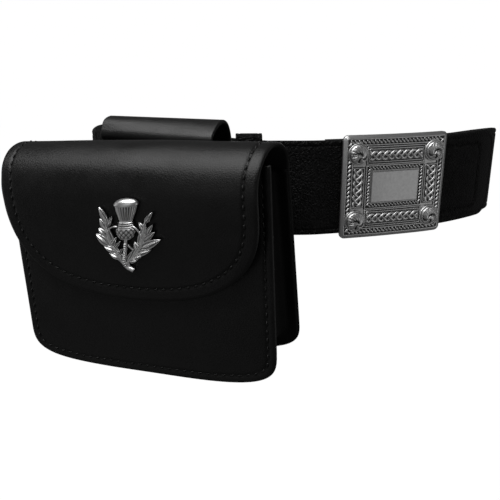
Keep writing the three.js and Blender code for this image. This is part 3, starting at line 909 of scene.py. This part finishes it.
# how bright each part of the buckle is painted: the sunk field is painted darker than the lip, and the low
# beds under ropes, rails and knots darkest, as shade
paintedLightLevels = {"field": 0.5, "tablet": 0.56, "knotShadeBed": 0.2, "ropeShadeBed": 0.06, "railShadeBed": 0.05}  # as in setPaintedLight
rail = {"step": 1.5, "lift": 0.25, "bedWider": 2.2, "bedFlat": 0.3}
plait = {"turn": 12.5, "steps": 26, "strand": 0.72, "weave": 0.4, "lift": 0.55, "rail": 0.36,
         "bedWider": 0.9, "bedRise": 0.05, "endGap": 0.4, "sideGap": 0.5}
boss = {"radius": 6.6, "flat": 0.66, "eye": (0.2, 0.3), "petals": 1.5, "petalTwist": 3.4, "petalDeep": 1.5,
        "ridges": 21, "ridgeTwist": 9, "ridgeDeep": 0.2, "ring": 0.86, "ringWide": 0.05, "ringDeep": 0.8}
outerRope = {"half": (buckle["width"] / 2 - buckle["ropeInset"], buckle["height"] / 2 - buckle["ropeInset"]),
             "lift": 0.35, "pitch": 2.5, "bead": (3.5, 1.35, 1.7), "bed": 1.5,
             "rails": (1.75, -1.75), "rail": 0.42}
innerRope = {"half": (17.2, 11.2), "lift": 0.4, "pitch": 2.1, "bead": (2.7, 1.1, 1.4), "bed": 1.2,
             "rails": (1.55,), "rail": 0.4}
knotBands = [  # the rails stand this much further out, along and across
    {"half": 17.3, "reach": 18.8, "swing": 2.8, "upright": False, "rails": ((0, 0.95), (1.2, 2.25))},
    {"half": 11.6, "reach": 24.0, "swing": 2.9, "upright": True, "rails": ((0, 0.95),)},
]
buckleBack = belt["lap"] + belt["thick"] / 2 + buckle["seat"]
plateTop = buckle["thick"] - buckle["sunk"]
bowCuts = np.arange(-32.5, 33, 2.5)  # where a flat face can bend


def bucklePlate():
    edge = buckle["thick"] - buckle["lipRise"]
    plate = blockPiece("plate", (buckle["width"], buckle["height"], edge), (0, 0, edge / 2))
    editEdges(plate, lambda a, b: abs(a.z - b.z) > 0.5)
    bpy.ops.mesh.bevel(offset=buckle["corner"], segments=5, affect="EDGES")
    leaveEdit()
    editFaces(plate, lambda face: face.normal.z > 0.9)
    # up over the lip and down to the field
    for inset, rise in ((0.25, 0.22), (buckle["lip"] - 0.25, buckle["lipRise"] + 0.1), (0.35, -0.75)):
        bpy.ops.mesh.inset(thickness=inset)
        bpy.ops.transform.translate(value=(0, 0, rise))
    sliceAcross(bowCuts)
    leaveEdit()
    bpy.ops.object.shade_smooth_by_angle(angle=math.radians(35))
    points = pointsOf(plate)
    inside = np.abs(points[:, 0]) < buckle["width"] / 2 - buckle["lip"]
    field = inside & (np.abs(points[:, 2] - plateTop) < 0.1)
    # painted shade: the sunk field is darker than the raised lip
    setPaintedLight(plate, np.where(field, paintedLightLevels["field"], 1.0))
    return plate


def boxSpots(halfAlong, halfUp, pitch, shift):
    # places at a pitch round a box, each with the heading of its side
    corners = [(-halfAlong, -halfUp), (halfAlong, -halfUp), (halfAlong, halfUp), (-halfAlong, halfUp)]
    spots = []
    for (ax, ay), (bx, by) in zip(corners, corners[1:] + corners[:1]):
        count = round(math.hypot(bx - ax, by - ay) / pitch)
        heading = math.atan2(by - ay, bx - ax)
        shares = (np.arange(count) + shift) / count
        spots += [(ax + (bx - ax) * t, ay + (by - ay) * t, heading) for t in shares]
    return spots


def railFrame(middle, halfAlong, halfUp, radius):
    # a plain wire on a low bed, painted dark as shade
    spots = boxSpots(halfAlong, halfUp, rail["step"], 0)
    line = np.array([(middle[0] + x, middle[1] + y, plateTop) for x, y, heading in spots])
    wire = tubePiece("rail", line + (0, 0, rail["lift"]), radius, closed=True)
    bed = tubePiece("railShadeBed", line, rail["bedWider"] * radius, closed=True, paintedLight=paintedLightLevels["railShadeBed"])
    setPoints(bed, pointsOf(bed) * (1, 1, rail["bedFlat"]) + (0, 0, (1 - rail["bedFlat"]) * plateTop))
    return [wire, bed]


def flatBar(middle, halfAlong, halfUp, rise, paintedLight, step=0):
    # a low block on the plate, its top stepped in when a step is given
    bar = blockPiece("bar", (2 * halfAlong, 2 * halfUp, rise + 1), (*middle, plateTop + (rise - 1) / 2))
    editFaces(bar, lambda face: face.normal.z > 0.9)
    if step:
        bpy.ops.mesh.inset(thickness=2 * step)
        bpy.ops.transform.translate(value=(0, 0, step))
    sliceAcross(bowCuts)
    leaveEdit()
    bpy.ops.object.shade_smooth_by_angle(angle=math.radians(20))
    setPaintedLight(bar, paintedLight)
    return bar


def ropeBead(length, width, height):
    pickNothing()
    bpy.ops.mesh.primitive_uv_sphere_add(segments=10, ring_count=8, radius=0.5)
    bead = bpy.context.object
    bead.scale = (length, width, height)
    bakeScale(bead)
    points = pointsOf(bead)
    points[:, 1] += 0.18 * width * np.sin(points[:, 0] / length * math.pi * 2)  # a strand lies in a slight S
    setPoints(bead, points)
    # painted shade: the bead darkens towards its foot on the plate and stays bright over its top
    setPaintedLight(bead, 0.1 + 1.8 * points[:, 2] / height)
    return bead


def beadFrame(place, heading):
    right = np.array([math.cos(heading), math.sin(heading), 0])
    return np.array(place), right, np.array([-right[1], right[0], 0]), upward


def beadRow(name, size, frames):
    bead = ropeBead(*size)
    row = copiesOf(name, bead, frames)
    bpy.data.objects.remove(bead)
    return row


def ropeBorder(rope):
    # beads all round, plain rails and a bed under the beads, painted dark as shade
    halfAlong, halfUp = rope["half"]
    slant = math.radians(buckle["ropeSlant"])
    level = plateTop + rope["lift"]
    frames = [beadFrame((x, y, level), heading + slant)
              for x, y, heading in boxSpots(halfAlong, halfUp, rope["pitch"], 0.5)]
    parts = [beadRow("rope", rope["bead"], frames)]
    for grow in rope["rails"]:
        parts += railFrame((0, 0), halfAlong + grow, halfUp + grow, rope["rail"])
    wide = rope["bed"]
    less = wide - 0.1  # the upright beds are a hair narrower and lower, so that no corners fall together
    for side in (-1, 1):
        parts.append(flatBar((0, side * halfUp), halfAlong + wide, wide, 0.06, paintedLightLevels["ropeShadeBed"]))
        parts.append(flatBar((side * halfAlong, 0), less, halfUp + less, 0.05, paintedLightLevels["ropeShadeBed"]))
    return parts


def onBand(band, along, aside):
    return (aside, along) if band["upright"] else (along, aside)


def knotBand(band, side):
    # three strands plaited over and under each other, on a bed painted dark as shade, inside rails
    middle = onBand(band, 0, side * band["reach"])
    bedSize = onBand(band, band["half"], band["swing"] + plait["bedWider"])
    parts = [flatBar(middle, *bedSize, plait["bedRise"], paintedLightLevels["knotShadeBed"])]
    for longer, wider in band["rails"]:
        size = onBand(band, band["half"] + longer, band["swing"] + wider)
        parts += railFrame(middle, *size, plait["rail"])
    halfLong = band["half"] - plait["endGap"]
    turns = 2 * halfLong / plait["turn"]
    level = plateTop + plait["lift"]
    t = np.linspace(0, 1, round(plait["steps"] * turns) + 1)
    for strand in range(3):
        phase = 2 * math.pi * (turns * t + strand / 3)
        line = onBand(band, (2 * t - 1) * halfLong, (band["swing"] - plait["sideGap"]) * np.sin(phase))
        over = level + plait["weave"] * np.sin(2 * phase)
        cord = tubePiece("knot", np.stack([*line, over], -1) + (*middle, 0), plait["strand"])
        # painted shade: each strand darkens where it dips under the others and is bright where it crosses
        # over
        setPaintedLight(cord, 0.28 + 0.5 * (pointsOf(cord)[:, 2] - level + 0.2) / 1.1)
        parts.append(cord)
    return parts


def cornerBoss():
    # a dome with a whorl that curls into an eye below its middle
    radius = boss["radius"]
    dome = cutBall(96, 60, radius, -0.5)
    points = pointsOf(dome)
    reach = np.hypot(points[:, 0], points[:, 1]) / radius
    eyeX = points[:, 0] / radius + boss["eye"][0]
    eyeY = points[:, 1] / radius + boss["eye"][1]
    away = np.hypot(eyeX, eyeY)
    turn = np.arctan2(eyeY, eyeX)
    petal = np.abs(np.sin(boss["petals"] * turn + boss["petalTwist"] * away)) ** 0.5 - 1
    petal = boss["petalDeep"] * petal * ease((1.1 - away) / 0.8)
    ridge = np.cos(boss["ridges"] * turn + boss["ridgeTwist"] * away) - 1
    ridge = boss["ridgeDeep"] * ridge * ease(away / 0.5)
    deep = (petal + ridge) * ease((0.8 - reach) / 0.1)
    ring = -boss["ringDeep"] * np.exp(-((reach - boss["ring"]) / boss["ringWide"]) ** 2)
    points[:, 2] = points[:, 2] * boss["flat"] + (deep + ring) * (points[:, 2] > 0)
    setPoints(dome, points)
    # painted shade in the whorl's furrows and the ring's groove
    setPaintedLight(dome, 0.95 + 1.1 * deep + ring)
    bpy.ops.object.shade_smooth()
    return dome


def copyAt(piece, spot, flip):
    twin = piece.copy()
    twin.data = piece.data.copy()
    bpy.context.scene.collection.objects.link(twin)
    setPoints(twin, pointsOf(twin) * (flip, 1, 1) + spot)
    if flip < 0:
        twin.data.flip_normals()
    return twin


buckleParts = [bucklePlate(), *ropeBorder(outerRope), *ropeBorder(innerRope)]
bossDome = cornerBoss()
for side in (-1, 1):
    for band in knotBands:
        buckleParts += knotBand(band, side)
    for level in (-1, 1):
        spot = (side * buckle["bossAlong"], level * buckle["bossUp"], plateTop)
        buckleParts.append(copyAt(bossDome, spot, side))
bpy.data.objects.remove(bossDome)
tablet = flatBar((0, 0), *buckle["tablet"], buckle["tabletRise"], paintedLightLevels["tablet"], buckle["tabletStep"])
buckleParts.append(tablet)
bucklePiece = joinAll("buckle_casting", buckleParts)
flat = pointsOf(bucklePiece)
setPoints(bucklePiece, onBelt(buckleAt + flat[:, 0], flat[:, 1], buckleBack + flat[:, 2]))
coat(bucklePiece, antiqueSilver)
settle(bucklePiece, "buckle")
coat(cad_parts["buckle_hook"], antiqueSilver)
print("buckle done")

# Thistle badge, modelled flat (x across, y up, z out, in millimetres) and then set on the flap

badge = {"across": 3.0, "height": 81.0, "gap": 0.35, "flat": 0.45, "lean": 0.19, "rise": 0.06,
         "shift": (0.45, 1.5), "headShift": (0.2, -1.1), "ball": (-1.8, 1.5, 5.0, 0.8),
         "neck": (4.9, 0.4, 8.7, 0.4), "tuft": (8.8, 0.8, 17.1, 0.4), "girth": 5.9, "scale": (3.4, 2.8),
         "scaleDeep": 0.9, "ringMiddle": 5.6, "ringRate": 5.2, "ringDeep": 0.3, "bristles": 22,
         "bristleDeep": 0.12, "stem": 0.95, "stemFoot": 1.45, "strip": 0.85, "rib": 0.75, "ribHeight": 1.6,
         "arm": 0.55, "twist": (1.9, 1.3, 1.3), "twistPitch": 1.25, "twistSlant": 60.0, "twistLift": 0.75,
         "bladeDeep": 1.75, "bladeStep": 0.03}
thistleHead = [(0.6, -2.2), (2.6, -1.6), (4.2, 0), (5.2, 2.4), (5.3, 4.4), (4.9, 5.2), (4.5, 6.6), (4.1, 8.2),
               (3.6, 8.9), (4.2, 11.4), (5.2, 14.4), (5.9, 16.9), (6.9, 17.3), (7.1, 17.9), (6.3, 19.2),
               (4.2, 20.3), (1.4, 20.8), (0.3, 20.85)]  # radius and height
leafRibs = [
    [(-0.3, -17.0), (-2.6, -13.6), (-5.8, -8.4), (-9.3, -4.4), (-10.8, 1.2), (-12.4, 8.5), (-15.5, 14.8)],
    [(0.9, -16.8), (3.4, -14.2), (7.1, -10.0), (10.0, -5.6), (11.0, -0.2), (11.5, 6.4), (15.1, 11.8)],
]
leafBlades = [  # root x, y, tip x, y, half width
    (-1.6, -16.0, -9.8, -3.2, 2.2), (-7.2, -8.6, -12.2, 6.0, 2.3), (2.4, -15.8, 10.2, -3.2, 2.2),
    (8.4, -7.6, 11.6, 6.4, 2.2), (0.4, -17.4, 4.8, -8.8, 1.8), (-0.4, -17.4, -4.0, -9.4, 1.7),
    (-11.2, 7.0, -15.8, 15.4, 1.6), (-11.6, 2.6, -15.4, 9.0, 1.5), (-11.0, -1.4, -16.2, 3.9, 1.8),
    (-9.4, -6.0, -18.0, 0.5, 2.4), (-6.2, -9.4, -13.2, -6.4, 1.7), (-3.0, -13.8, -9.9, -10.2, 1.6),
    (-10.6, 4.4, -8.3, 10.0, 1.3), (-8.6, -6.2, -5.6, -1.6, 1.5), (-6.0, -7.2, -3.1, -3.8, 1.0),
    (-4.4, -11.6, -1.8, -8.0, 1.1),
    (11.6, 6.4, 15.6, 12.2, 1.4), (10.9, 3.0, 8.4, 6.8, 1.1), (12.6, 0.2, 15.9, 5.4, 1.4),
    (11.4, -3.2, 17.3, 1.4, 1.7), (9.6, -7.4, 20.8, -2.8, 2.6), (7.0, -10.9, 15.6, -8.4, 1.9),
    (5.0, -13.0, 10.6, -11.7, 1.4), (2.8, -15.2, 7.8, -14.2, 1.3), (7.7, -8.6, 5.8, -4.0, 1.2),
]
stemStrips = [
    [(-3.0, -12.6, 1.0), (-1.6, -15.6, 1.2), (0.4, -18.0, 1.2), (3.2, -19.9, 1.1)],
    [(-1.5, -12.4, 0.9), (-0.9, -15.4, 1.2), (0.9, -17.9, 1.3), (3.4, -19.6, 1.1)],
    [(3.2, -13.2, 0.9), (1.9, -15.8, 1.2), (2.2, -17.8, 1.2), (4.0, -19.4, 1.1)],
]
leafArms = [
    [(-4.8, 4.6, 1.6), (-7.0, 4.7, 1.8), (-8.9, 3.8, 1.8), (-10.0, 2.0, 1.5)],
    [(4.6, 5.0, 1.8), (6.2, 4.2, 2.0), (8.8, 1.4, 2.0), (9.8, -2.0, 1.9), (9.6, -6.4, 1.8), (7.3, -10.5, 1.6),
     (3.4, -14.4, 1.4)],
    [(1.8, -5.8, 1.5), (4.8, -8.6, 1.4)],
]
stemLine = [(0.5, -1.6, 1.3), (0.3, -8.0, 1.6), (0.0, -15.6, 1.6), (1.2, -18.4, 1.3), (5.2, -20.6, 1.0)]


def bladePattern():
    # a pointed blade with a rib down its middle and raised edges, one long and one wide
    along, share = np.meshgrid(np.linspace(0, 1, 12), np.linspace(1, -1, 13), indexing="ij")
    half = np.sin(math.pi * np.clip(along, 0.02, 1) ** 0.8) ** 0.75 * (1 - 0.25 * along) + 0.03
    body = np.sin(math.pi * np.clip(along, 0.06, 0.96)) ** 0.5
    crest = 0.5 + 0.5 * np.cos(2 * math.pi * share * 0.96)
    swell = 1 - share ** 2
    outer = np.stack([share * half, along, 0.35 + (0.5 * crest + 0.5 * swell) * body], -1)
    inner = np.stack([share * half, along, 0 * along], -1)
    blade = shellPiece("blade", outer, inner)
    # painted shade in the furrows between the rib and the raised edges, which stay bright
    setPaintedLight(blade, np.concatenate([(0.15 + 0.85 * crest).ravel(), 0 * crest.ravel() + 0.1]))
    return blade


def thistleBody():
    line = curveThrough(thistleHead, fine=9)
    turn = np.linspace(0, math.pi, 121)
    radius = line[:, :1] + 0 * turn
    height = line[:, 1:] + 0 * turn
    ball, neck, tuft = (between(height, *badge[part]) for part in ("ball", "neck", "tuft"))
    across = (turn - math.pi / 2) * badge["girth"] / badge["scale"][0]
    up = height / badge["scale"][1]
    scale = np.abs(np.sin(math.pi * (across + up)) * np.sin(math.pi * (across - up)))
    rings = np.cos((height - badge["ringMiddle"]) * badge["ringRate"])
    bristles = np.cos(turn * badge["bristles"])
    radius = radius + badge["scaleDeep"] * ball * (scale ** 0.6 - 0.4) + badge["ringDeep"] * neck * rings
    radius = radius * (1 + tuft * badge["bristleDeep"] * bristles)
    outer = np.stack([radius * np.cos(turn), height, 0.9 + badge["flat"] * radius * np.sin(turn)], -1)
    inner = np.stack([radius[:, :1] * np.linspace(1, -1, len(turn)), height, 0 * height], -1)
    shift = (*badge["headShift"], 0)
    head = shellPiece("thistle", outer + shift, inner + shift)
    # painted shade in the hollows between the scales, the grooves of the tuft and the grooves between the
    # neck's rings
    paintedLight = 1 - ball * (1 - scale ** 0.8) - tuft * (0.52 - 0.48 * bristles) * 0.95
    paintedLight -= neck * (0.45 - 0.45 * rings)
    setPaintedLight(head, np.concatenate([paintedLight.ravel(), 0 * paintedLight.ravel()]))
    return head


def taperTube(name, line, radius, start, stop, sides=2):
    return tubePiece(name, line, radius, sides=sides, swell=np.linspace(start, stop, len(line)))


def thistleStem():
    line = curveThrough(stemLine, fine=14)
    parts = [tubePiece("stem", line, badge["stem"], sides=3),
             taperTube("stemFoot", line[-26:], badge["stemFoot"], 0.75, 1.0, 3)]
    for strip in stemStrips:
        parts.append(taperTube("strip", curveThrough(strip, fine=10), badge["strip"], 0.7, 1.0, 3))
    spots, ahead = walk(line, np.arange(3.5, lengthsOf(line)[-1] - 5, badge["twistPitch"]))
    slant = math.radians(badge["twistSlant"])
    frames = [beadFrame(place + (0, 0, badge["twistLift"]), math.atan2(way[1], way[0]) + slant)
              for place, way in zip(spots, ahead)]
    return [*parts, beadRow("stemTwist", badge["twist"], frames)]


def thistleLeaves():
    blade = bladePattern()
    frames = []
    for i, (rootX, rootY, tipX, tipY, half) in enumerate(leafBlades):
        ahead = np.array([tipX - rootX, tipY - rootY, 0.0])
        side = np.array([ahead[1], -ahead[0], 0]) / np.linalg.norm(ahead) * half
        root = np.array([rootX, rootY, 0.1 + badge["bladeStep"] * i])
        frames.append((root, side, ahead, upward * badge["bladeDeep"]))
    parts = [copiesOf("blades", blade, frames)]
    bpy.data.objects.remove(blade)
    for rib in leafRibs:
        line = curveThrough([(x, y, badge["ribHeight"]) for x, y in rib], fine=8)
        parts.append(taperTube("rib", line, badge["rib"], 1.25, 0.5))
    for arm in leafArms:
        parts.append(taperTube("arm", curveThrough(arm, fine=8), badge["arm"], 1.0, 0.7))
    return parts


def badgeSeat():
    # where the flap is level with the badge's middle, and the directions there
    lengths = lengthsOf(flapLine)
    below = np.nonzero((flapLine[:, 1] > badge["height"]) & (lengths > 0.55 * flapLength))[0][-1]
    spot, ahead = walk(flapLine, lengths[below])
    up = np.array([0, -ahead[0], -ahead[1]])
    out = np.array([0, -up[2], up[1]])
    base = np.array([badge["across"], spot[0], spot[1]]) + out * (flap["bulge"] + badge["gap"])
    return base, up, out


badgePiece = joinAll("thistle_badge_casting", [thistleBody(), *thistleStem(), *thistleLeaves()])
base, up, out = badgeSeat()
flat = pointsOf(badgePiece)
flat[:, :2] += flat[:, 1::-1] * (badge["lean"], badge["rise"]) + badge["shift"]  # pinned a little askew
setPoints(badgePiece, hangPouch(base + turned(flat, (1, 0, 0), up, out)))
coat(badgePiece, brightSilver)
settle(badgePiece, "thistle_badge")
print("thistle badge done")

# Camera, floor and light

studio = {"eye": (0.12724, -0.448, 0.07377), "look": (-0.3282, 0.89362, -0.30614), "lens": 43.34,
          "floorDrop": 0.16, "domeRadius": 3.0, "paper": 1.0, "ambient": 0.08}
softBoxes = {  # place, aim, width, height, power
    "overhead": ((-0.22, -0.42, 0.85), (-0.02, -0.17, 0.02), 1.0, 0.9, 10.5),
    "rightCard": ((0.95, -0.15, -0.15), (0.08, -0.08, 0), 0.9, 0.9, 1.03),
    "leftCard": ((-0.9, -0.2, 0.0), (-0.05, -0.17, 0), 0.7, 0.7, 0.45),
    "frontCard": ((-0.3, -1.2, 0.24), (-0.04, -0.18, -0.02), 0.8, 0.8, 0.58),
    "lowCard": ((-0.46, -0.95, -0.5), (-0.04, -0.18, -0.02), 0.5, 0.5, 0.13),
    "backCard": ((-0.35, 1.1, -0.25), (0, 0.05, 0), 0.9, 0.6, 3.5),
}


def paperFinish():
    finish, tree, shader = newFinish("studioPaper")
    setSockets(tree, shader, {"Base Color": (0.02, 0.02, 0.02, 1), "Roughness": 1.0,
                              "Specular IOR Level": 0.0, "Emission Color": (1, 1, 1, 1),
                              "Emission Strength": studio["paper"]})
    return finish


def studioFloor():
    # a flat floor inside a wide white dome, so no edge shows from any side
    floor = cutBall(64, 32, studio["domeRadius"], cadBox[0].z - studio["floorDrop"])
    floor.name = "studio_floor"
    floor.data.materials.append(paperFinish())
    floor.visible_glossy = False  # the black leather keeps its dark reflections
    floor.visible_diffuse = False
    floor.visible_shadow = False


def softBox(name, place, aim, width, height, power):
    way = Vector(aim) - Vector(place)
    bpy.ops.object.light_add(type="AREA", location=place, rotation=way.to_track_quat("-Z", "Y").to_euler())
    lamp = bpy.context.object
    lamp.name = name
    lamp.data.shape = "RECTANGLE"
    lamp.data.size = width
    lamp.data.size_y = height
    lamp.data.energy = power


pickNothing()
facing = Vector(studio["look"]).to_track_quat("-Z", "Y").to_euler()
bpy.ops.object.camera_add(location=studio["eye"], rotation=facing)
camera = bpy.context.object
camera.data.lens = studio["lens"]
camera.data.sensor_width = 36
camera.data.clip_start = 0.01
bpy.context.scene.camera = camera
studioFloor()
for name, values in softBoxes.items():
    softBox(name, *values)
world = bpy.data.worlds.new("studioAir")
world.use_nodes = True
air = world.node_tree.nodes["Background"]
air.inputs["Color"].default_value = (1, 1, 1, 1)
air.inputs["Strength"].default_value = studio["ambient"]
bpy.context.scene.world = world
bpy.context.scene.view_settings.view_transform = "Standard"
print("studio done")
